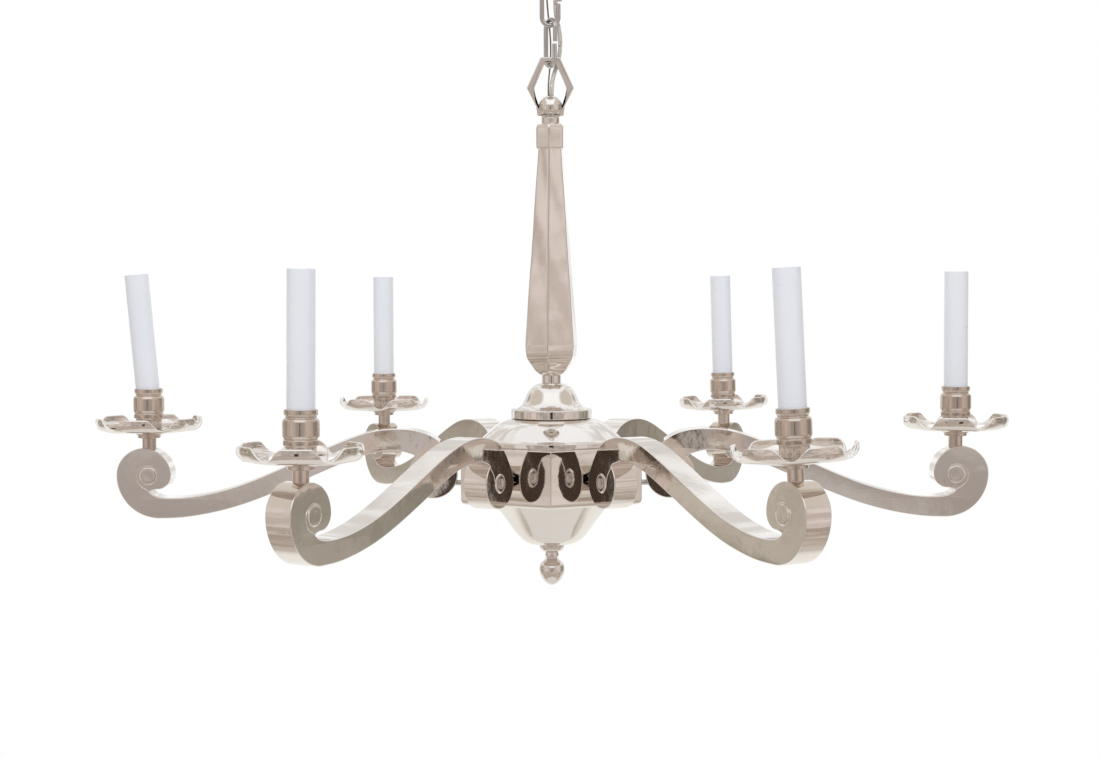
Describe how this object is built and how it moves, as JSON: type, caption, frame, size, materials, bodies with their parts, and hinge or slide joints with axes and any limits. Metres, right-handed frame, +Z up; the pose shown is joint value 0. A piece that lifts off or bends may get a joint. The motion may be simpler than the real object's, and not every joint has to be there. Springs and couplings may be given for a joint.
{
  "type": "chandelier",
  "caption": "Hanging candle-style electric chandelier with scroll arms around a hexagonal hub, a faceted column, drip pans, plain candle sleeves and a short chain to a ceiling canopy.",
  "frame": {"origin": "on the ceiling plane, midway between the crossbar's two screw slots", "axes": "+Z up along the column, +X along the first arm"},
  "size_m": [0.8433, 0.7442, 0.6136],
  "materials": {
    "polished_nickel": "mirror-polished nickel plate on brass",
    "satin_nickel": "nickel plate with a fine turned grain",
    "chain_nickel": "bright nickel-plated steel wire",
    "zinc_steel": "zinc-plated steel",
    "sleeve_plastic": "milk-white satin gloss",
    "socket_body": "dark phenolic",
    "shell_metal": "thin rolled shell",
    "contact_brass": "plain brass",
    "clear_cord": "clear insulation over tinned strands",
    "ground_wire": "bare dulled wire"
  },
  "bodies": {
    "ceiling_fitting": {"crossbar": "zinc_steel", "ceiling_nipple": "zinc_steel", "ceiling_nuts": "zinc_steel", "ceiling_eye": "polished_nickel", "cord_top": "clear_cord", "ground_wire_top": "ground_wire"},
    "canopy": {"canopy": "polished_nickel"},
    "canopy_collar": {"canopy_collar": "polished_nickel"},
    "link_2": {"link_2": "chain_nickel", "cord_mid": "clear_cord", "ground_wire_mid": "ground_wire"},
    "link_1": {"link_1": "chain_nickel"},
    "fixture": {"hanging_loop": "polished_nickel", "ball_nut": "polished_nickel", "column_collar": "polished_nickel", "column_cap": "polished_nickel", "column": "polished_nickel", "column_neck": "polished_nickel", "bell": "polished_nickel", "step_ring": "polished_nickel", "dome_cover": "polished_nickel", "hub_drum": "polished_nickel", "hub_plate": "zinc_steel", "bowl": "polished_nickel", "finial": "polished_nickel", "centre_rod": "zinc_steel", "rod_nuts": "zinc_steel", "arm_screws": "zinc_steel", "candle_nipples": "zinc_steel", "candle_stems": "satin_nickel", "socket_brackets": "zinc_steel", "socket_bodies": "socket_body", "socket_shells": "shell_metal", "socket_contacts": "contact_brass", "cord_low": "clear_cord", "ground_wire_low": "ground_wire", "arm_1": "polished_nickel", "pan_1": "polished_nickel", "cup_1": "satin_nickel", "arm_2": "polished_nickel", "pan_2": "polished_nickel", "cup_2": "satin_nickel", "arm_3": "polished_nickel", "pan_3": "polished_nickel", "cup_3": "satin_nickel", "arm_4": "polished_nickel", "pan_4": "polished_nickel", "cup_4": "satin_nickel", "arm_5": "polished_nickel", "pan_5": "polished_nickel", "cup_5": "satin_nickel", "arm_6": "polished_nickel", "pan_6": "polished_nickel", "cup_6": "satin_nickel"},
    "candle_sleeve_1": {"candle_sleeve_1": "sleeve_plastic"},
    "candle_sleeve_2": {"candle_sleeve_2": "sleeve_plastic"},
    "candle_sleeve_3": {"candle_sleeve_3": "sleeve_plastic"},
    "candle_sleeve_4": {"candle_sleeve_4": "sleeve_plastic"},
    "candle_sleeve_5": {"candle_sleeve_5": "sleeve_plastic"},
    "candle_sleeve_6": {"candle_sleeve_6": "sleeve_plastic"}
  },
  "joints": [
    {"name": "upper_link_swing", "type": "hinge", "parent": "ceiling_fitting", "child": "link_2", "pos_m": [0, 0, -0.0613], "axis": [0, 1, 0], "range_deg": [-20, 20], "deforming": ["cord_top", "ground_wire_top"]},
    {"name": "lower_link_swing", "type": "hinge", "parent": "link_2", "child": "link_1", "pos_m": [0, 0, -0.09805], "axis": [1, 0, 0], "range_deg": [-20, 20], "deforming": ["cord_mid", "ground_wire_mid"]},
    {"name": "fixture_swing", "type": "hinge", "parent": "link_1", "child": "fixture", "pos_m": [0, 0, -0.13515], "axis": [0.5299, -0.848, 0], "range_deg": [-10, 10], "deforming": ["cord_low", "ground_wire_low"]},
    {"name": "canopy_drop", "type": "slide", "parent": "ceiling_fitting", "child": "canopy", "axis": [0, 0, -1], "range_m": [0, 0.025]},
    {"name": "collar_turn", "type": "hinge", "parent": "canopy", "child": "canopy_collar", "pos_m": [0, 0, -0.0324], "axis": [0, 0, 1], "continuous": true},
    {"name": "candle_sleeve_1_lift", "type": "slide", "parent": "fixture", "child": "candle_sleeve_1", "axis": [0, 0, 1], "range_m": [0, 0.105]},
    {"name": "candle_sleeve_2_lift", "type": "slide", "parent": "fixture", "child": "candle_sleeve_2", "axis": [-0.0262, 0, 0.9997], "range_m": [0, 0.105]},
    {"name": "candle_sleeve_3_lift", "type": "slide", "parent": "fixture", "child": "candle_sleeve_3", "axis": [0, 0, 1], "range_m": [0, 0.105]},
    {"name": "candle_sleeve_4_lift", "type": "slide", "parent": "fixture", "child": "candle_sleeve_4", "axis": [-0.0872, 0, 0.9962], "range_m": [0, 0.105]},
    {"name": "candle_sleeve_5_lift", "type": "slide", "parent": "fixture", "child": "candle_sleeve_5", "axis": [0.0105, 0, 0.9999], "range_m": [0, 0.105]},
    {"name": "candle_sleeve_6_lift", "type": "slide", "parent": "fixture", "child": "candle_sleeve_6", "axis": [-0.0471, 0, 0.9989], "range_m": [0, 0.105]}
  ]
}
